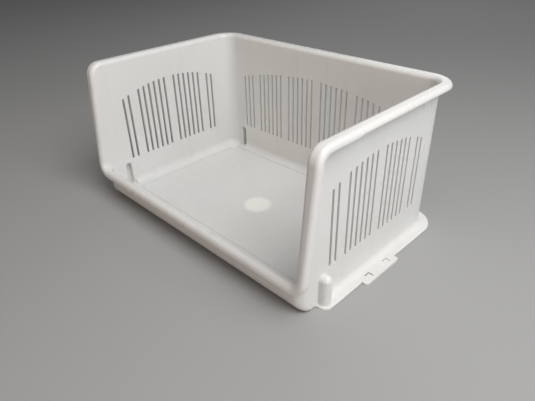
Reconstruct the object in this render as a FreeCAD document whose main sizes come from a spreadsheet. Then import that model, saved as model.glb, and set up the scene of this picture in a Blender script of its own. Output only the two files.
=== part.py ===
import FreeCAD, Part
import math
import os

# An open-fronted stacking bin moulded in one shot of white plastic: two slotted side walls, a slotted
# back wall, a flat floor that curves up into a low front lip, and a rolled edge that runs round the
# whole mouth. A flat flange goes round the foot outside, with four hollow posts that key into the
# bin below and a slotted link tab at each side.
# The moulding is divided into named regions that meet face to face. Millimetres, +Z up, +X to the
# right seen from the open front. The origin is at the middle of the footprint, on the ground.

V = FreeCAD.Vector

doc = FreeCAD.newDocument("stacking_bin")
sheet = doc.addObject("Spreadsheet::Sheet", "Dimensions")

DIMENSIONS = [
    ("inner_width", 330.0, "between the inner faces of the side walls"),
    ("inner_depth", 224.0, "inner face of the back wall to the front plane, at the lip's crest"),
    ("total_height", 170.0, "ground to the top of the rim"),
    ("wall", 2.4, "thickness of walls and edges"),
    ("floor_thick", 2.4, "thickness of the floor and of the foot flange"),
    ("front_lean", 5.54, "lean of the front plane in degrees, its foot further forward"),
    ("lip_height", 38.0, "ground to the crest of the front lip"),
    ("bend_radius", 9.0, "inside bends round the floor, and the mouth's lower corners"),
    ("foot_bend", 3.0, "outside rounding of the sides' front bottom edges, at the ground"),
    ("corner_radius", 17.6, "inside radius of the upright back corners"),
    ("cove_radius", 16.0, "outside radius of the curve from floor to lip"),
    ("crest_radius", 4.8, "rounding of the mouth's inner edge"),
    ("top_corner_radius", 16.0, "outside radius where the rim turns down the front"),
    ("rim_reach", 13.6, "inner wall face to the rim's outer edge"),
    ("lip_reach", 10.4, "the same at the front lip, to which the front edges narrow"),
    ("roll_radius", 4.4, "rounding of the rim's outer edge"),
    ("tip_radius", 1.1, "rounding of the turned-down edge's tip"),
    ("roll_drop", 6.8, "depth of the rim's turned-down edge at the front"),
    ("roll_step", 1.2, "how much shallower that edge is round the back"),
    ("roll_step_place", 36.6, "front turn of the rim to the step in the turned-down edge"),
    ("foot_reach", 14.6, "inner wall face to the foot flange's outer edge"),
    ("foot_fillet", 6.0, "outside fillet between wall and foot flange"),
    ("foot_edge", 0.8, "rounding of the foot flange's edge"),
    ("post_radius", 6.0, "outside radius of the hollow posts"),
    ("post_reach", 12.0, "inner wall face to a post's outer side"),
    ("post_height", 35.0, "ground to the top of a post's dome"),
    ("post_gap", 7.8, "rear of the cove to the side of a front post"),
    ("slot_width", 3.0, "width of the wall slots"),
    ("slot_bottom", 38.0, "ground to the lower ends of the slots"),
    ("slot_top", 36.6, "top of the rim to the arch that the tops of the slots make"),
    ("group_gap", 1.9, "spacing across a wide bar, in pitches"),
    ("side_arch", 194.0, "radius of the arch on the side walls"),
    ("back_arch", 476.0, "radius of the arch on the back wall"),
    ("side_slots_back", 36.4, "inner face of the back wall to the rearmost side slot"),
    ("side_slots_front", 22.76, "rear of the cove to the foremost side slot"),
    ("back_slots_side", 32.7, "inner face of a side wall to the nearest back slot"),
    ("panel_inset", 14.0, "side wall to the line round the floor's panel"),
    ("panel_front", 16.8, "rear of the cove to the panel line's front"),
    ("panel_back", 10.0, "inner face of the back wall to the panel line's back"),
    ("panel_corner", 6.0, "corner radius of the panel line"),
    ("panel_line", 0.9, "width of the panel line"),
    ("panel_line_depth", 0.5, "depth of the panel line"),
    ("tab_length", 57.0, "length of a link tab along the side"),
    ("tab_reach", 6.2, "how far a link tab stands out of the foot flange"),
    ("tab_corner", 3.0, "corner radius of a link tab"),
    ("tab_place", 110.8, "inner face of the back wall to the middle of the tab"),
    ("tab_root", 5.5, "how far a link tab reaches back into the foot flange"),
    ("tab_slit", 1.1, "width of the L-shaped slit in the tab's rear end"),
    ("tab_slit_front", 1.6, "width of the slit in its front end"),
    ("tab_slit_inset", 9.0, "end of the tab to its nearer slit"),
    ("tab_slit_root", 1.3, "root of the tab to the slits"),
    ("tab_slit_run", 7.6, "length of a slit along the tab"),
    ("tab_slit_turn", 6.4, "length of a slit across the tab"),
]
SIDE_GROUPS = [2, 6, 6, 2]
BACK_GROUPS = [3, 6, 6, 6, 6, 3]
MARGIN = 20.0  # how far a cutting solid runs past what it cuts
TIP_SHARE = 0.46  # the most of an edge's thickness that the rounding of its tip takes
ROLL_SHARE = 0.9  # the most of an edge's reach past its crest that the outer rounding takes

for row, (alias, value, meaning) in enumerate(DIMENSIONS, start=1):
    sheet.set("A%d" % row, meaning)
    sheet.set("B%d" % row, "%g" % value)
    sheet.setAlias("B%d" % row, alias)
doc.recompute()


def size(alias):
    """A driving dimension, read back from the sheet."""
    return float(sheet.get(alias))


def bind(item, prop, formula):
    """Ties a property to a formula of dimensions, each written as an alias after a $."""
    item.setExpression(prop, formula.replace("$", sheet.Name + "."))


# Lengths that follow from the driving dimensions.
lean = math.radians(size("front_lean"))
half_width = size("inner_width") / 2
wall = size("wall")
reach = size("rim_reach")
lip_reach = size("lip_reach")
roll = size("roll_radius")
crest = size("crest_radius")
bend = size("bend_radius")
corner = size("corner_radius")
cove = size("cove_radius")
top_turn = size("top_corner_radius")
height = size("total_height")
lip = size("lip_height")
floor_top = size("floor_thick")



def roll_at(edge_reach):
    """Rounding of the rolled edge's outer side where the edge reaches out that far."""
    return min(roll, ROLL_SHARE * (edge_reach - crest))


# The lip's rolled edge bulges a little past the front plane's crest line.
lip_roll = roll_at(lip_reach)
front_overhang = (lip_reach - lip_roll) * math.sin(lean) + lip_roll * (1 - math.cos(lean))
rear_overhang = max(reach, size("foot_reach"))
back_y = (size("inner_depth") + front_overhang - rear_overhang) / 2
crest_y = back_y - size("inner_depth")
bend_x = half_width - bend
corner_x = half_width - corner
corner_y = back_y - corner
cove_inner_y = crest_y + 2 * crest / math.cos(lean)
cove_y = cove_inner_y - wall + cove

FRONT_UP = V(0, math.sin(lean), math.cos(lean))
FRONT_BACK = V(0, math.cos(lean), -math.sin(lean))
FRONT_OUT = V(0, -math.cos(lean), math.sin(lean))
RIGHT = V(1, 0, 0)
UP = V(0, 0, 1)
BACK = V(0, 1, 0)


def on_front(up, behind):
    """The point that lies up from the crest line along the front plane, and behind the plane."""
    return V(0, crest_y, lip) + FRONT_UP * up + FRONT_BACK * behind


def front_up_at(z, behind):
    """How far up the front plane a point of height z is."""
    return (z - lip + behind * math.sin(lean)) / math.cos(lean)


def placed(origin, x_axis, z_axis):
    """A placement with its local X and Z along the given directions."""
    y_axis = z_axis.cross(x_axis)
    rotation = FreeCAD.Rotation(x_axis, y_axis, z_axis, "ZXY")
    return FreeCAD.Placement(origin, rotation)


# ---- sketch helpers -----------------------------------------------------------------------------


def origin_plane(body, role):
    return next(f for f in body.Origin.OriginFeatures if f.Role == role)


def new_body(label):
    body = doc.addObject("PartDesign::Body", label)
    body.Label = label
    return body


def new_sketch(body, name, role):
    sketch = body.newObject("Sketcher::SketchObject", name)
    sketch.AttachmentSupport = [(origin_plane(body, role), "")]
    sketch.MapMode = "FlatFace"
    return sketch


def rounded_outline(sketch, corners):
    """Draws a closed outline through corners (x, y, radius), each rounded by its radius."""
    starts, ends, arcs = [], [], []
    count = len(corners)
    for i, (x, y, radius) in enumerate(corners):
        here = V(x, y, 0)
        before = V(corners[i - 1][0], corners[i - 1][1], 0)
        after = V(corners[(i + 1) % count][0], corners[(i + 1) % count][1], 0)
        arriving = (here - before).normalize()
        leaving = (after - here).normalize()
        if not radius:
            starts.append(here)
            ends.append(here)
            arcs.append(None)
            continue
        turn = arriving.getAngle(leaving)
        setback = radius * math.tan(turn / 2)
        first = here - arriving * setback
        last = here + leaving * setback
        middle_way = (leaving - arriving).normalize()
        centre = here + middle_way * (radius / math.cos(turn / 2))
        starts.append(first)
        ends.append(last)
        arcs.append(Part.Arc(first, centre - middle_way * radius, last))
    for i in range(count):
        if arcs[i]:
            sketch.addGeometry(arcs[i], False)
        following = (i + 1) % count
        if ends[i].distanceToPoint(starts[following]) > 1e-6:
            sketch.addGeometry(Part.LineSegment(ends[i], starts[following]), False)


def add_pad(body, sketch, length, midplane=True):
    """Pads a sketch; length is a formula of dimensions or a number."""
    pad = body.newObject("PartDesign::Pad", "Pad")
    pad.Profile = sketch
    pad.Midplane = midplane
    if isinstance(length, str):
        bind(pad, "Length", length)
    else:
        pad.Length = length
    sketch.Visibility = False
    body.Tip = pad


def add_turn(body, sketch, axis, degrees):
    """Revolves a sketch about one of its axes, half to each side of its plane."""
    turn = body.newObject("PartDesign::Revolution", "Revolution")
    turn.Profile = sketch
    turn.ReferenceAxis = (sketch, [axis])
    turn.Midplane = True
    if isinstance(degrees, str):
        bind(turn, "Angle", degrees)
    else:
        turn.Angle = degrees
    body.Tip = turn


def box(label, low, high):
    """An upright box between two corners, each a triple of numbers."""
    item = doc.addObject("Part::Box", label)
    item.Length, item.Width, item.Height = [b - a for a, b in zip(low, high)]
    item.Placement.Base = V(*low)
    return item


def fuse(label, items):
    item = doc.addObject("Part::MultiFuse", label)
    item.Shapes = items
    item.Refine = True
    return item


def cut(label, base, tool):
    item = doc.addObject("Part::Cut", label)
    item.Base = base
    item.Tool = tool
    item.Label = label
    return item


def common(label, base, tool):
    item = doc.addObject("Part::Common", label)
    item.Base = base
    item.Tool = tool
    item.Label = label
    return item


def fillet(label, base, choose):
    """Rounds the edges of base for which choose(edge) gives a radius, or a radius at each end."""
    doc.recompute()
    edges = []
    for number, edge in enumerate(base.Shape.Edges, start=1):
        radii = choose(edge)
        if radii:
            first, last = radii if isinstance(radii, tuple) else (radii, radii)
            edges.append((number, first, last))
    item = doc.addObject("Part::Fillet", label)
    item.Base = base
    item.Edges = edges
    doc.recompute()
    return item


def near(a, b):
    return abs(a - b) < 1e-3


# ---- the shell of walls, floor and cove ---------------------------------------------------------

nodes = []


def side_profile(label, corners, width):
    """A solid of constant width, a formula of dimensions, with the given outline in the YZ plane."""
    body = new_body(label)
    sketch = new_sketch(body, label + "_outline", "YZ_Plane")
    rounded_outline(sketch, corners)
    add_pad(body, sketch, width)
    return body


# Where the rim turns down: the middle of the turn lies equally far below the rim and behind the front.
turn_up = front_up_at(height - top_turn, top_turn)
turn_centre = on_front(turn_up, top_turn)

# The front part of the shell takes in both the cove and that turn.
front_part_y = max(cove_y, turn_centre.y)
edge_top = height - crest
outer_half = half_width + wall
outer_back = back_y + wall
ledge_front = on_front(-wall, crest)
top_front = on_front(front_up_at(edge_top, crest), crest)


def ledge_point(up, y):
    """The point at depth y on the line across the lip that lies up from its crest."""
    behind = (y - crest_y - up * math.sin(lean)) / math.cos(lean)
    return on_front(up, behind)


under_ledge = ledge_point(-wall, cove_inner_y - wall)
over_ledge = ledge_point(0, cove_inner_y)

front_blank = side_profile("front_blank", [
    (front_part_y + MARGIN, 0, 0),
    (front_part_y + MARGIN, edge_top, 0),
    (top_front.y, top_front.z, top_turn - crest),
    (ledge_front.y, ledge_front.z, 0),
    (under_ledge.y, under_ledge.z, crest - wall),
    (cove_inner_y - wall, 0, cove),
], "$inner_width + 2 * $wall")


def front_blank_radius(edge):
    """The edges that follow the cove and the lip's underside, on both side faces.

    Their rounding grows along the cove, from the foot's to the one concentric with the mouth.
    """
    bounds = edge.BoundBox
    on_side = near(bounds.XMin, bounds.XMax) and near(abs(bounds.XMin), outer_half)
    if not on_side or bounds.ZMax > ledge_front.z + 0.5 * bend:
        return None
    low, high = size("foot_bend"), bend + wall
    if bounds.ZMax < 1e-3:
        return low
    if bounds.ZMin > 1e-3:
        return high
    starts_low = edge.valueAt(edge.FirstParameter).z < 1e-3
    return (low, high) if starts_low else (high, low)


front_filleted = fillet("front_filleted", front_blank, front_blank_radius)
front_rounded = common(
    "front_rounded", front_filleted,
    box("front_bounds", (-outer_half, crest_y - MARGIN, 0), (outer_half, front_part_y, height)),
)
main_blank = box("main_blank", (-outer_half, front_part_y, 0), (outer_half, outer_back, edge_top))
bind(main_blank, "Length", "$inner_width + 2 * $wall")
bind(main_blank, "Height", "$total_height - $crest_radius")


def main_blank_radius(edge):
    bounds = edge.BoundBox
    upright = near(bounds.ZMax - bounds.ZMin, edge_top)
    return corner + wall if upright and near(bounds.YMin, outer_back) else None


main_rounded = fillet("main_rounded", main_blank, main_blank_radius)

far_front = ledge_point(0, crest_y - MARGIN)
inner_blank = side_profile("inner_blank", [
    (back_y, floor_top, 0),
    (back_y, height + MARGIN, 0),
    (far_front.y, height + MARGIN, 0),
    (far_front.y, far_front.z, 0),
    (over_ledge.y, over_ledge.z, crest),
    (cove_inner_y, floor_top, cove - wall),
], "$inner_width")


def inner_upright_radius(edge):
    bounds = edge.BoundBox
    upright = near(bounds.XMin, bounds.XMax) and near(bounds.YMin, bounds.YMax)
    return corner if upright and near(bounds.YMin, back_y) else None


inner_corners = fillet("inner_corners", inner_blank, inner_upright_radius)


def inner_bend_radius(edge):
    """The bends round the floor, up the cove and out over the lip, which are one smooth run."""
    bounds = edge.BoundBox
    low = bounds.ZMax < far_front.z + 1e-3
    along_side = near(bounds.XMin, bounds.XMax) and near(abs(bounds.XMin), half_width)
    on_floor = near(bounds.ZMin, floor_top) and near(bounds.ZMax, floor_top)
    round_back = on_floor and bounds.YMax > corner_y + 1e-3
    return bend if low and (along_side or round_back) else None


inner_rounded = fillet("inner_rounded", inner_corners, inner_bend_radius)


post_radius = size("post_radius")
post_nose = size("post_reach") - post_radius
post_crown = size("post_height") - post_radius


def post_outside(label, x, y, out):
    """A half-round post with a domed top, running out from inside the wall's thickness."""
    across = UP.cross(out)
    root = V(x, y, 0) + out * (wall / 2)
    tip = V(x, y, 0) + out * post_nose
    trunk = doc.addObject("Part::Box", label + "_trunk")
    bind(trunk, "Length", "$post_reach - $post_radius - $wall / 2")
    bind(trunk, "Width", "2 * $post_radius")
    bind(trunk, "Height", "$post_height - $post_radius")
    trunk.Placement = placed(root - across * post_radius, out, UP)
    nose = doc.addObject("Part::Cylinder", label + "_nose")
    bind(nose, "Radius", "$post_radius")
    bind(nose, "Height", "$post_height - $post_radius")
    nose.Placement.Base = tip
    ridge = doc.addObject("Part::Cylinder", label + "_ridge")
    bind(ridge, "Radius", "$post_radius")
    bind(ridge, "Height", "$post_reach - $post_radius - $wall / 2")
    ridge.Placement = placed(root + UP * post_crown, across, out)
    dome = doc.addObject("Part::Sphere", label + "_dome")
    bind(dome, "Radius", "$post_radius")
    dome.Placement.Base = tip + UP * post_crown
    return fuse(label, [trunk, nose, ridge, dome])


def post_inside(label, x, y, out):
    """The recess inside a post, a wall's thickness in from its faces, with a rounded mouth."""
    hollow = post_radius - wall
    tip_x = post_nose + hollow
    body = new_body(label)
    plan = new_sketch(body, label + "_plan", "XY_Plane")
    rounded_outline(plan, [
        (-bend, -post_radius, 0),
        (0, -post_radius, 0),
        (0, -hollow, wall),
        (tip_x, -hollow, hollow),
        (tip_x, hollow, hollow),
        (0, hollow, wall),
        (0, post_radius, 0),
        (-bend, post_radius, 0),
    ])
    add_pad(body, plan, "$post_height - $post_radius - $floor_thick", False)
    body.Tip.Reversed = True
    crown = new_sketch(body, label + "_crown", "XZ_Plane")
    rounded_outline(crown, [
        (-bend, 0, 0),
        (tip_x, 0, 0),
        (tip_x, hollow, hollow),
        (0, hollow, wall),
        (0, post_radius, 0),
        (-bend, post_radius, 0),
    ])
    add_turn(body, crown, "H_Axis", 360)
    body.Placement = placed(V(x, y, post_crown), out, UP)
    return body


side_post_y = cove_y + size("post_gap") + post_radius
back_post_x = corner_x - post_radius
POSTS = {
    "left_front_post": (-half_width, side_post_y, -RIGHT),
    "right_front_post": (half_width, side_post_y, RIGHT),
    "left_back_post": (-back_post_x, back_y, BACK),
    "right_back_post": (back_post_x, back_y, BACK),
}
outsides = {name: post_outside(name + "_outside", *place) for name, place in POSTS.items()}
insides = [post_inside(name + "_inside", *place) for name, place in POSTS.items()]
shell_outside = fuse("shell_outside", [front_rounded, main_rounded] + list(outsides.values()))
shell_inside = fuse("shell_inside", [inner_rounded] + insides)
shell = cut("shell", shell_outside, shell_inside)


def region(label, low, high):
    """The part of the shell inside a box."""
    return common(label, shell, box(label + "_bounds", low, high))


# ---- slots --------------------------------------------------------------------------------------


def slot_places(groups, length):
    """Distances of the slots from the middle of their row: even groups with wider bars between."""
    places, here = [], 0.0
    for number, count in enumerate(groups):
        if number:
            here += size("group_gap")
        places.extend(here + i for i in range(count))
        here = places[-1]
    pitch = length / here
    return [pitch * place - length / 2 for place in places]


def slot_cutter(label, groups, length, arch):
    """Upright slots with round ends, whose tops follow an arch. Local X is along the wall."""
    body = new_body(label)
    sketch = new_sketch(body, label + "_outline", "XZ_Plane")
    radius = size("slot_width") / 2
    for place in slot_places(groups, length):
        low = size("slot_bottom") + radius
        high = height - size("slot_top") - (arch - math.sqrt(arch**2 - place**2)) - radius
        left, right = V(place - radius, 0, 0), V(place + radius, 0, 0)
        sketch.addGeometry(Part.LineSegment(right + BACK * low, right + BACK * high), False)
        sketch.addGeometry(Part.LineSegment(left + BACK * high, left + BACK * low), False)
        top, foot = V(place, high, 0), V(place, low, 0)
        across = RIGHT * radius
        sketch.addGeometry(Part.Arc(top + across, top + BACK * radius, top - across), False)
        sketch.addGeometry(Part.Arc(foot - across, foot - BACK * radius, foot + across), False)
    add_pad(body, sketch, "4 * $wall")
    return body


edge_z = edge_top + MARGIN
panel_low_z = -MARGIN
side_row_back = back_y - size("side_slots_back")
side_row_front = cove_y + size("side_slots_front")
side_row_y = (side_row_back + side_row_front) / 2
side_row = side_row_back - side_row_front
back_row = 2 * (half_width - size("back_slots_side"))

for side, sign in (("left", -1), ("right", 1)):
    x_low, x_high = sorted((sign * bend_x, sign * outer_half))
    wall_region = region(side + "_wall_blank", (x_low, cove_y, panel_low_z), (x_high, corner_y, edge_z))
    slots = slot_cutter(side + "_slots", SIDE_GROUPS, side_row, size("side_arch"))
    slots.Placement = placed(V(sign * (half_width + wall / 2), side_row_y, 0), BACK, UP)
    nodes.append(cut(side + "_wall", wall_region, slots))
    nodes.append(region(
        side + "_front_cheek", (x_low, crest_y - MARGIN, panel_low_z), (x_high, cove_y, edge_z)
    ))
    x_low, x_high = sorted((sign * corner_x, sign * outer_half))
    nodes.append(region(
        "back_%s_corner" % side, (x_low, corner_y, panel_low_z), (x_high, outer_back, edge_z)
    ))

back_blank = region(
    "back_wall_blank", (-corner_x, back_y - bend, panel_low_z), (corner_x, outer_back, edge_z)
)
back_slots = slot_cutter("back_slots", BACK_GROUPS, back_row, size("back_arch"))
back_slots.Placement.Base = V(0, back_y + wall / 2, 0)
nodes.append(cut("back_wall", back_blank, back_slots))
nodes.append(region("front_cove", (-bend_x, crest_y - MARGIN, panel_low_z), (bend_x, cove_y, edge_z)))

for name, (x, y, out) in POSTS.items():
    across = UP.cross(out)
    start = V(x, y, 0) + out * wall
    ends = [start - across * post_radius, start + out * size("post_reach") + across * post_radius]
    low = (min(p.x for p in ends), min(p.y for p in ends), panel_low_z)
    high = (max(p.x for p in ends), max(p.y for p in ends), edge_z)
    nodes.append(region(name, low, high))


# ---- floor --------------------------------------------------------------------------------------

floor_bounds = fuse("floor_bounds", [
    box("floor_main_bounds", (-bend_x, cove_y, panel_low_z), (bend_x, corner_y, edge_z)),
    box("floor_back_bounds", (-corner_x, corner_y, panel_low_z), (corner_x, back_y - bend, edge_z)),
])
floor_blank = common("floor_blank", shell, floor_bounds)


def panel_outline(sketch, inset):
    """The rounded rectangle of the floor's panel, drawn in by inset on every side."""
    x = half_width - size("panel_inset") - inset
    front = cove_y + size("panel_front") + inset
    back = back_y - size("panel_back") - inset
    radius = size("panel_corner") - inset
    rounded_outline(sketch, [
        (x, front, radius),
        (x, back, radius),
        (-x, back, radius),
        (-x, front, radius),
    ])


panel_groove = new_body("panel_groove")
groove_sketch = new_sketch(panel_groove, "panel_groove_outline", "XY_Plane")
panel_outline(groove_sketch, 0)
panel_outline(groove_sketch, size("panel_line"))
add_pad(panel_groove, groove_sketch, "2 * $panel_line_depth")
panel_groove.Placement.Base = UP * floor_top
nodes.append(cut("floor_panel", floor_blank, panel_groove))

# ---- the rolled edge round the mouth ------------------------------------------------------------


def edge_profile(body, name, drop, outer=reach, shift_out=0.0, shift_up=0.0):
    """Section of the rolled edge: out from the wall's inner face, up towards the open side."""
    sketch = new_sketch(body, name, "XZ_Plane")
    inner_crest = crest - wall
    outer_roll = roll_at(outer)
    tip = min(size("tip_radius"), TIP_SHARE * wall)
    rounded_outline(sketch, [
        (shift_out + x, shift_up + y, radius)
        for x, y, radius in (
            (0, -crest, 0),
            (0, 0, crest),
            (outer, 0, outer_roll),
            (outer, -drop, tip),
            (outer - wall, -drop, tip),
            (outer - wall, -wall, outer_roll - wall),
            (wall, -wall, inner_crest),
            (wall, -crest, 0),
        )
    ])
    return sketch


def edge_run(label, start, end, out, up, drop, outer=reach, length=None):
    """A straight run of the rolled edge between two points of the wall's top inner edge."""
    body = new_body(label)
    section = edge_profile(body, label + "_section", drop, outer)
    add_pad(body, section, length or (end - start).Length)
    body.Placement = placed((start + end) * 0.5, out, up)
    return body


def edge_taper(label, start, end, out, up, drop, start_outer, end_outer):
    """A straight run of the rolled edge whose reach changes from one end to the other."""
    body = new_body(label)
    first = edge_profile(body, label + "_start_section", drop, start_outer)
    last = edge_profile(body, label + "_end_section", drop, end_outer)
    body.Placement = placed(start, out, up)
    travel = body.Placement.Rotation.inverted().multVec(end - start)
    last.AttachmentOffset = FreeCAD.Placement(V(0, 0, -travel.y), FreeCAD.Rotation())
    loft = body.newObject("PartDesign::AdditiveLoft", "Loft")
    loft.Profile = first
    loft.Sections = [last]
    loft.Ruled = True
    body.Tip = loft
    return body


def edge_bend(label, centre, out, up, radius, drop, outer=reach):
    """The rolled edge turned a right angle about a line through centre; out points to its middle."""
    body = new_body(label)
    section = edge_profile(body, label + "_section", drop, outer, shift_out=radius)
    add_turn(body, section, "V_Axis", 90)
    body.Placement = placed(centre, out, up)
    return body


deep = size("roll_drop")
shallow = deep - size("roll_step")
step_y = turn_centre.y + size("roll_step_place")
turn_middle = (UP + FRONT_OUT).normalize()

nodes.append(edge_run(
    "back_rim", V(-corner_x, back_y, height), V(corner_x, back_y, height), BACK, UP, shallow,
    length="$inner_width - 2 * $corner_radius",
))
nodes.append(edge_run(
    "front_lip", V(-bend_x, crest_y, lip), V(bend_x, crest_y, lip), -FRONT_UP, FRONT_OUT, deep,
    lip_reach, "$inner_width - 2 * $bend_radius",
))
for side, sign in (("left", -1), ("right", 1)):
    out = RIGHT * sign
    wall_x = sign * half_width
    rim = edge_run(
        side + "_rim", V(wall_x, corner_y, height), V(wall_x, turn_centre.y, height), out, UP, shallow
    )
    lower = edge_profile(rim, side + "_rim_front_section", deep)
    rim_middle = (corner_y + turn_centre.y) / 2
    # local Y runs forward on the right and backward on the left
    forward = 1 if rim.Placement.Rotation.multVec(BACK).y < 0 else -1
    lower.AttachmentOffset = FreeCAD.Placement(
        V(0, 0, -forward * ((rim_middle - step_y) + (rim_middle - turn_centre.y)) / 2), FreeCAD.Rotation()
    )
    add_pad(rim, lower, step_y - turn_centre.y)
    nodes.append(rim)

    diagonal = (out + BACK).normalize()
    nodes.append(edge_bend(
        "back_%s_rim_corner" % side, V(sign * corner_x, corner_y, height), diagonal, UP, corner, shallow
    ))

    top = new_body(side + "_top_corner")
    section = edge_profile(top, side + "_top_corner_section", deep, shift_up=top_turn)
    add_turn(top, section, "H_Axis", "90 - $front_lean")
    top.Placement = placed(V(wall_x, turn_centre.y, turn_centre.z), out, turn_middle)
    nodes.append(top)

    nodes.append(edge_taper(
        side + "_front_edge",
        V(wall_x, 0, 0) + on_front(bend, 0),
        V(wall_x, 0, 0) + on_front(turn_up, 0),
        out, FRONT_OUT, deep, lip_reach, reach,
    ))
    diagonal = (out - FRONT_UP).normalize()
    nodes.append(edge_bend(
        side + "_lip_corner", V(sign * bend_x, 0, 0) + on_front(bend, 0), diagonal, FRONT_OUT, bend, deep,
        lip_reach,
    ))

# ---- foot flange and link tabs ------------------------------------------------------------------

foot_reach = size("foot_reach")
foot_fillet = size("foot_fillet")
foot_edge = size("foot_edge")


def foot_profile(body, name, shift_out):
    """Section of the foot flange: a flat plate at the ground, with a fillet up to the wall."""
    sketch = new_sketch(body, name, "XZ_Plane")
    inner, outer = shift_out + wall, shift_out + foot_reach
    rounded_outline(sketch, [
        (inner, 0, 0),
        (outer, 0, foot_edge),
        (outer, floor_top, foot_edge),
        (inner, floor_top, foot_fillet),
        (inner, floor_top + foot_fillet, 0),
    ])
    return sketch


def foot_run(label, start, end, out, length=None):
    """A straight run of the foot flange along the foot of a wall's inner face."""
    body = new_body(label)
    add_pad(body, foot_profile(body, label + "_section", 0), length or (end - start).Length)
    body.Placement = placed((start + end) * 0.5, out, UP)
    return body


def tab_plate(label):
    """A link tab: a thin plate with rounded outer corners. Local X is outward, Y along the side."""
    body = new_body(label)
    sketch = new_sketch(body, label + "_outline", "XY_Plane")
    half = size("tab_length") / 2
    tip_x = size("tab_reach")
    radius = size("tab_corner")
    root = size("tab_root")
    rounded_outline(sketch, [
        (-root, -half, 0),
        (tip_x, -half, radius),
        (tip_x, half, radius),
        (-root, half, 0),
    ])
    add_pad(body, sketch, "$floor_thick", False)

    slits = new_sketch(body, label + "_slits", "XY_Plane")
    run = size("tab_slit_run")
    turn = size("tab_slit_turn")
    inset = size("tab_slit_inset")
    left = size("tab_slit_root") - root
    for far_end, gap in ((-half + inset + run, size("tab_slit_front")), (half - inset, size("tab_slit"))):
        rounded_outline(slits, [
            (left, far_end, 0),
            (left, far_end - run, 0),
            (left + gap, far_end - run, 0),
            (left + gap, far_end - gap, 0),
            (left + turn, far_end - gap, 0),
            (left + turn, far_end, 0),
        ])
    doc.recompute()
    pocket = body.newObject("PartDesign::Pocket", "Slits")
    pocket.Profile = slits
    pocket.Type = "ThroughAll"
    pocket.Midplane = True
    body.Tip = pocket
    return body


def foot_end(label, wall_x, y, out):
    """The flange's front end: a plate with a rounded corner concentric with the post."""
    radius = foot_reach - post_nose
    inner_x, axis_x = wall_x + out.x * wall, wall_x + out.x * post_nose
    low_x, high_x = sorted((inner_x, axis_x))
    plate = box(label + "_plate", (low_x, y - radius, 0), (high_x, y, floor_top))
    corner_disc = doc.addObject("Part::Cylinder", label + "_round")
    bind(corner_disc, "Radius", "$foot_reach - $post_reach + $post_radius")
    bind(corner_disc, "Height", "$floor_thick")
    corner_disc.Angle = 90
    corner_disc.Placement = placed(V(axis_x, y, 0), -BACK if out.x > 0 else -RIGHT, UP)
    return [plate, corner_disc]


for side, sign in (("left", -1), ("right", 1)):
    out = RIGHT * sign
    wall_x = sign * half_width
    run = foot_run(side + "_foot_run", V(wall_x, side_post_y, 0), V(wall_x, corner_y, 0), out)
    end = foot_end(side + "_foot_end", wall_x, side_post_y, out)
    whole = fuse(side + "_foot_whole", [run] + end)
    blank = cut(side + "_foot_blank", whole, outsides[side + "_front_post"])
    tab_y = back_y - size("tab_place")
    foot_x = sign * (half_width + foot_reach)
    notch_ends = sorted((foot_x - sign * size("tab_root"), foot_x + sign * MARGIN))
    half_tab = size("tab_length") / 2
    notch = box(
        side + "_tab_notch",
        (notch_ends[0], tab_y - half_tab, -MARGIN),
        (notch_ends[1], tab_y + half_tab, MARGIN),
    )
    nodes.append(cut(side + "_foot_flange", blank, notch))

    tab = tab_plate(side + "_link_tab")
    if sign > 0:
        tab.Placement.Base = V(foot_x, tab_y, 0)
        nodes.append(tab)
    else:
        tab.Label = "left_link_tab_unmirrored"
        mirror = doc.addObject("Part::Mirroring", "left_link_tab_mirrored")
        mirror.Source = tab
        mirror.Normal = RIGHT
        mirror.Label = side + "_link_tab"
        mirror.Placement.Base = V(foot_x, tab_y, 0)
        nodes.append(mirror)

    turn_body = new_body("back_%s_foot_corner" % side)
    section = foot_profile(turn_body, turn_body.Label + "_section", corner)
    add_turn(turn_body, section, "V_Axis", 90)
    turn_body.Placement = placed(V(sign * corner_x, corner_y, 0), (out + BACK).normalize(), UP)
    nodes.append(turn_body)

back_run = foot_run(
    "back_foot_run", V(-corner_x, back_y, 0), V(corner_x, back_y, 0), BACK,
    "$inner_width - 2 * $corner_radius",
)
back_posts = fuse("back_posts_outside", [outsides["left_back_post"], outsides["right_back_post"]])
nodes.append(cut("back_foot_flange", back_run, back_posts))

# ---- check and write ----------------------------------------------------------------------------

doc.recompute()
for item in doc.Objects:
    broken = [state for state in item.State if state in ("Invalid", "Error")]
    if broken:
        raise RuntimeError("%s is %s" % (item.Label, broken))
for node in nodes:
    if node.Shape.isNull() or not node.Shape.isValid() or not node.Shape.Solids:
        raise RuntimeError("%s has no valid solid" % node.Label)

os.makedirs("parts", exist_ok=True)
for node in nodes:
    node.Shape.exportStep("parts/%s.step" % node.Label)
    bounds = node.Shape.BoundBox
    print("%-24s %2d solids %9.0f mm3  x %7.1f %7.1f  y %7.1f %7.1f  z %6.1f %6.1f" % (
        node.Label, len(node.Shape.Solids), node.Shape.Volume,
        bounds.XMin, bounds.XMax, bounds.YMin, bounds.YMax, bounds.ZMin, bounds.ZMax,
    ))
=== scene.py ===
import math

import bpy
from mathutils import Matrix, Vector


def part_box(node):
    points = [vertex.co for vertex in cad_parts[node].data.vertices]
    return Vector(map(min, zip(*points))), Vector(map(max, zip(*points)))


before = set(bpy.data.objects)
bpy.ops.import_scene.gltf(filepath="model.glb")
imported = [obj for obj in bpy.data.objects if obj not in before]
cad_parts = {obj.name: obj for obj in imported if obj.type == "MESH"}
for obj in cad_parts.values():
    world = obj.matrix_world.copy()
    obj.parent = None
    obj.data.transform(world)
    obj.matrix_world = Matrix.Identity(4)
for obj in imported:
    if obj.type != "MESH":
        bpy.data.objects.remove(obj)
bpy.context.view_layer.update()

scene = bpy.context.scene
scene.view_settings.view_transform = "Standard"


# ---- camera -------------------------------------------------------------------------------------

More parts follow.
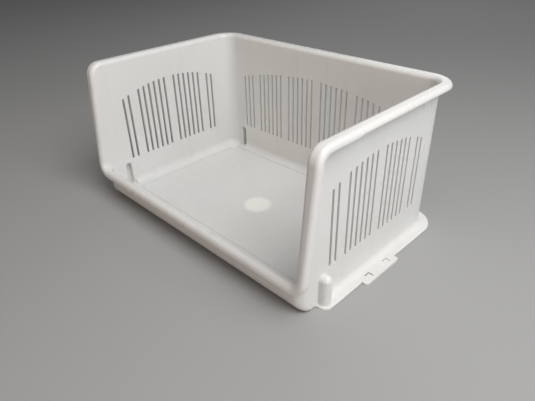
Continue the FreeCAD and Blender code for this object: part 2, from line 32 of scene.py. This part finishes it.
CAMERA_PLACE = (0.3694, -0.3473, 0.3168)
CAMERA_TURN = (58.49, 1.39, 44.79)  # degrees about X, Y and Z
SENSOR_WIDTH = 36.0
FOCAL_LENGTH = 31.82
NEAREST, FARTHEST = 0.01, 20.0


def add_camera():
    """A camera in front of the bin, to the right and above, a little rolled."""
    data = bpy.data.cameras.new("camera")
    data.sensor_width = SENSOR_WIDTH
    data.lens = FOCAL_LENGTH
    data.clip_start = NEAREST
    data.clip_end = FARTHEST
    camera = bpy.data.objects.new("camera", data)
    scene.collection.objects.link(camera)
    camera.location = CAMERA_PLACE
    camera.rotation_mode = "XYZ"
    camera.rotation_euler = [math.radians(angle) for angle in CAMERA_TURN]
    scene.camera = camera


add_camera()


# ---- light --------------------------------------------------------------------------------------

SKY_GREY = (0.80, 0.80, 0.80, 1)
SKY_STRENGTH = 0.18

# name, place, the point it faces, width and height in metres, watts, colour
LIGHTS = [
    ("key", (0.60, -0.10, 0.95), (0, 0, 0.06), (0.70, 0.70), 8.6, (1.0, 0.99, 0.975)),
    ("side", (1.30, -0.25, 0.35), (0, 0, 0.08), (0.60, 0.60), 4.2, (1.0, 0.99, 0.97)),
    ("overhead", (-0.3, 0.2, 1.7), (0, 0, 0), (1.4, 1.4), 1.9, (0.96, 0.98, 1.0)),
    ("front", (-0.2, -1.4, 0.30), (0, 0, 0.05), (0.9, 0.5), 2.0, (1.0, 0.68, 0.40)),
    ("behind", (-0.5, 1.7, 1.00), (0, 0, 0.08), (1.0, 1.0), 3.0, (0.98, 0.99, 1.0)),
]


def add_area_light(name, location, aim, size, power, colour):
    """A soft rectangular light at location that faces aim and isn't seen by the camera."""
    data = bpy.data.lights.new(name, "AREA")
    data.shape = "RECTANGLE"
    data.size, data.size_y = size
    data.energy = power
    data.color = colour
    light = bpy.data.objects.new(name, data)
    scene.collection.objects.link(light)
    light.location = location
    light.visible_camera = False
    direction = Vector(aim) - Vector(location)
    light.rotation_mode = "QUATERNION"
    light.rotation_quaternion = direction.to_track_quat("-Z", "Y")


def add_sky():
    """An even, dim grey all round."""
    world = bpy.data.worlds.new("world")
    scene.world = world
    world.use_nodes = True
    background = world.node_tree.nodes["Background"]
    background.inputs["Color"].default_value = SKY_GREY
    background.inputs["Strength"].default_value = SKY_STRENGTH


add_sky()
for light_settings in LIGHTS:
    add_area_light(*light_settings)


# ---- floor --------------------------------------------------------------------------------------

GROUND_SIZE = 8.0
GROUND_DROP = 0.0002  # keeps the surface clear of the bin's underside
GROUND_GREY = (0.40, 0.40, 0.40, 1)
MATT = 1.0
NO_SHEEN = 0.0


def add_ground():
    """The plain pale surface that the bin stands on."""
    bpy.ops.mesh.primitive_plane_add(size=GROUND_SIZE, location=(0, 0, -GROUND_DROP))
    ground = bpy.context.object
    ground.name = "ground"
    material = bpy.data.materials.new("ground")
    material.use_nodes = True
    shader = material.node_tree.nodes["Principled BSDF"]
    shader.inputs["Base Color"].default_value = GROUND_GREY
    shader.inputs["Roughness"].default_value = MATT
    shader.inputs["Specular IOR Level"].default_value = NO_SHEEN
    ground.data.materials.append(material)


add_ground()


# ---- material -----------------------------------------------------------------------------------

# Plastics are pairs of colours that the clouding goes between.
WHITE = (0.79, 0.793, 0.79, 1)
CREAM = (0.76, 0.757, 0.742, 1)
PEARL = (0.81, 0.806, 0.79, 1)
FLOOR_WHITE = (0.77, 0.773, 0.77, 1)
FLOOR_CREAM = (0.745, 0.742, 0.727, 1)

STREAK_COLOUR = (0.66, 0.645, 0.61, 1)
SPECK_COLOUR = (0.36, 0.33, 0.29, 1)
# The colour of the painted shade in hollows, corners and recesses.
HOLLOW_SHADE_COLOUR = (0.47, 0.44, 0.38, 1)
SCUFF_COLOUR = (0.52, 0.50, 0.46, 1)
# Near white: a painted highlight on the gate mark in the middle of the floor.
GATE_MARK_HIGHLIGHT_COLOUR = (0.98, 0.965, 0.92, 1)

PLASTIC_IOR = 1.49
HANDLED_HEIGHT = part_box("back_rim")[1][2] - 0.004  # the rim's top is rubbed above this
HANDLED_FADE = 0.002
HOLLOW_REACH = 0.010  # how near two faces are where shade is painted into the hollows
GATE_MARK_HIGHLIGHT_PLACE = (0.0, -0.0035, 0)
GATE_MARK_HIGHLIGHT_RADIUS = 0.0168
GATE_MARK_HIGHLIGHT_EDGE = 0.0030


# A mark's tint is how far it takes the colour, from 0 to 1, and its roughness is what it adds.
STREAK_TINT, STREAK_ROUGHNESS = 0.22, 0.06
SPECK_TINT = 0.35
# The painted shade in hollows: how far it darkens the colour, and the roughness it adds there.
HOLLOW_SHADE_TINT, HOLLOW_SHADE_ROUGHNESS = 0.12, 0.3
SCUFF_TINT, SCUFF_ROUGHNESS = 0.35, 0.22
# The gate mark: how far its painted highlight takes the colour, and how much smoother it is.
GATE_MARK_HIGHLIGHT_TINT, GATE_MARK_SMOOTHNESS = 0.9, 0.05
CLOUD_ROUGHNESS = 0.10

RIPPLE_RELIEF, SCUFF_RELIEF = 0.5, 0.3
BUMP_STRENGTH = 0.10
RIPPLE_DEPTH = 0.0006
SKIN_DEPTH = 0.0001

# The sockets of a Mix node that blends colours, by their place in its lists.
MIX_FACTOR, MIX_FIRST, MIX_SECOND = 0, 6, 7
MIX_RESULT = 2


class Graph:
    """Adds nodes to a material and wires them."""

    def __init__(self, name):
        self.material = bpy.data.materials.new(name)
        self.material.use_nodes = True
        self.tree = self.material.node_tree
        self.shader = self.tree.nodes["Principled BSDF"]
        self.place = self.add("ShaderNodeTexCoord").outputs["Object"]

    def add(self, kind, **settings):
        node = self.tree.nodes.new(kind)
        for key, value in settings.items():
            setattr(node, key, value)
        return node

    def link(self, source, target):
        self.tree.links.new(source, target)

    def stretched(self, scale):
        """Object coordinates scaled differently along each axis."""
        mapping = self.add("ShaderNodeMapping")
        mapping.inputs["Scale"].default_value = scale
        self.link(self.place, mapping.inputs["Vector"])
        return mapping.outputs["Vector"]

    def noise(self, vector, scale, detail, roughness=0.5):
        node = self.add("ShaderNodeTexNoise")
        node.inputs["Scale"].default_value = scale
        node.inputs["Detail"].default_value = detail
        node.inputs["Roughness"].default_value = roughness
        self.link(vector, node.inputs["Vector"])
        return node.outputs["Fac"]

    def remap(self, value, low, high, to_low, to_high):
        """Maps low..high to to_low..to_high, clamped."""
        node = self.add("ShaderNodeMapRange")
        node.inputs["From Min"].default_value = low
        node.inputs["From Max"].default_value = high
        node.inputs["To Min"].default_value = to_low
        node.inputs["To Max"].default_value = to_high
        self.link(value, node.inputs["Value"])
        return node.outputs["Result"]

    def math(self, operation, a, b):
        node = self.add("ShaderNodeMath", operation=operation)
        for socket, value in zip(node.inputs, (a, b)):
            if isinstance(value, float):
                socket.default_value = value
            else:
                self.link(value, socket)
        return node.outputs["Value"]

    def mix(self, factor, first, second):
        """Blends two colours, each a colour or a socket, by a factor socket."""
        node = self.add("ShaderNodeMix", data_type="RGBA")
        self.link(factor, node.inputs[MIX_FACTOR])
        for socket, value in ((node.inputs[MIX_FIRST], first), (node.inputs[MIX_SECOND], second)):
            if isinstance(value, tuple):
                socket.default_value = value
            else:
                self.link(value, socket)
        return node.outputs[MIX_RESULT]

    def disc(self, place, radius, edge):
        """1 inside an upright cylinder of the given radius about place, falling to 0 over its edge."""
        across = self.add("ShaderNodeVectorMath", operation="DISTANCE")
        self.link(self.stretched((1, 1, 0)), across.inputs[0])
        across.inputs[1].default_value = place
        return self.remap(across.outputs["Value"], radius - edge, radius + edge, 1, 0)

    def height_above(self, level):
        """1 above a level in metres, falling to 0 a little below it."""
        split = self.add("ShaderNodeSeparateXYZ")
        self.link(self.place, split.inputs["Vector"])
        return self.remap(split.outputs["Z"], level - HANDLED_FADE, level, 0, 1)

    def bump(self, height, strength, distance, normal=None):
        node = self.add("ShaderNodeBump")
        node.inputs["Strength"].default_value = strength
        node.inputs["Distance"].default_value = distance
        self.link(height, node.inputs["Height"])
        if normal:
            self.link(normal, node.inputs["Normal"])
        return node.outputs["Normal"]


def moulded_plastic(name, light, warm, gloss, scuffs, gate_mark_and_highlight=False):
    """White semi-gloss polypropylene: faint clouding, flow streaks, a fine skin, painted shade in
    hollows and scuffs.

    gloss is the roughness of the smooth skin; scuffs is how much of the surface is scuffed.
    """
    g = Graph(name)
    even = g.stretched((1, 1, 1))
    clouds = g.noise(even, scale=9.0, detail=4.0)
    streaks = g.noise(g.stretched((90, 90, 5)), scale=1.0, detail=3.0)
    specks = g.noise(even, scale=420.0, detail=2.0)
    skin = g.noise(even, scale=1500.0, detail=2.0)
    ripple = g.noise(even, scale=28.0, detail=2.0)
    scuffs_along_x = g.noise(g.stretched((14, 240, 60)), scale=1.0, detail=5.0, roughness=0.65)
    scuffs_along_y = g.noise(g.stretched((230, 18, 70)), scale=1.0, detail=5.0, roughness=0.65)

    # The first two numbers of a remap are where a noise starts to count and where it counts in full.
    colour = g.mix(g.remap(clouds, 0.35, 0.65, 0, 1), light, warm)
    colour = g.mix(g.remap(streaks, 0.52, 0.75, 0, STREAK_TINT), colour, STREAK_COLOUR)
    colour = g.mix(g.remap(specks, 0.74, 0.80, 0, SPECK_TINT), colour, SPECK_COLOUR)
    rough = g.remap(clouds, 0.3, 0.7, gloss, gloss + CLOUD_ROUGHNESS)

    # The gate mark in the middle of the floor is a smoother disc, and its lighter colour is a painted
    # highlight.
    if gate_mark_and_highlight:
        mark = g.disc(GATE_MARK_HIGHLIGHT_PLACE, GATE_MARK_HIGHLIGHT_RADIUS, GATE_MARK_HIGHLIGHT_EDGE)
        colour = g.mix(g.math("MULTIPLY", mark, GATE_MARK_HIGHLIGHT_TINT), colour, GATE_MARK_HIGHLIGHT_COLOUR)
        rough = g.math("SUBTRACT", rough, g.math("MULTIPLY", mark, GATE_MARK_SMOOTHNESS))

    # Painted shade: the colour darkens, and the roughness rises, where other faces are near, in
    # hollows, corners and recesses.
    hollows = g.add("ShaderNodeAmbientOcclusion", samples=8)
    hollows.inputs["Distance"].default_value = HOLLOW_REACH
    hollow_shade = g.remap(hollows.outputs["AO"], 0.25, 0.65, HOLLOW_SHADE_TINT, 0)
    colour = g.mix(hollow_shade, colour, HOLLOW_SHADE_COLOUR)

    lines = g.math(
        "MAXIMUM",
        g.remap(scuffs_along_x, 0.66, 0.74, 0, 1),
        g.remap(scuffs_along_y, 0.67, 0.75, 0, 1),
    )
    handled = g.math("MAXIMUM", g.height_above(HANDLED_HEIGHT), g.remap(clouds, 0.40, 0.60, 0.2, 1))
    scuffed = g.math("MULTIPLY", lines, g.math("MULTIPLY", handled, scuffs))
    colour = g.mix(g.math("MULTIPLY", scuffed, SCUFF_TINT), colour, SCUFF_COLOUR)
    g.link(colour, g.shader.inputs["Base Color"])

    rough = g.math("ADD", rough, g.remap(streaks, 0.45, 0.75, 0, STREAK_ROUGHNESS))
    rough = g.math("ADD", rough, g.math("MULTIPLY", scuffed, SCUFF_ROUGHNESS))
    rough = g.math("ADD", rough, g.math("MULTIPLY", hollow_shade, HOLLOW_SHADE_ROUGHNESS))
    g.link(rough, g.shader.inputs["Roughness"])

    swell = g.math("MULTIPLY", ripple, RIPPLE_RELIEF)
    relief = g.math("SUBTRACT", swell, g.math("MULTIPLY", scuffed, SCUFF_RELIEF))
    waves = g.bump(relief, BUMP_STRENGTH, RIPPLE_DEPTH)
    g.link(g.bump(skin, BUMP_STRENGTH, SKIN_DEPTH, waves), g.shader.inputs["Normal"])
    g.shader.inputs["IOR"].default_value = PLASTIC_IOR
    return g.material


finishes = {
    "walls": moulded_plastic("wall_plastic", WHITE, CREAM, gloss=0.26, scuffs=0.5),
    "floor": moulded_plastic(
        "floor_plastic", FLOOR_WHITE, FLOOR_CREAM, gloss=0.14, scuffs=0.8, gate_mark_and_highlight=True
    ),
    "edges": moulded_plastic("edge_plastic", PEARL, WHITE, gloss=0.22, scuffs=0.6),
    "foot": moulded_plastic("foot_plastic", PEARL, CREAM, gloss=0.30, scuffs=1.0),
}
FOOT_WORDS = ("foot", "tab", "post")
EDGE_WORDS = ("rim", "edge", "lip", "top_corner")


def finish_for(name):
    """The finish of a region of the moulding, from the words in its name."""
    if name == "floor_panel":
        return "floor"
    if any(word in name for word in FOOT_WORDS):
        return "foot"
    if any(word in name for word in EDGE_WORDS):
        return "edges"
    return "walls"


for name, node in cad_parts.items():
    node.data.materials.clear()
    node.data.materials.append(finishes[finish_for(name)])
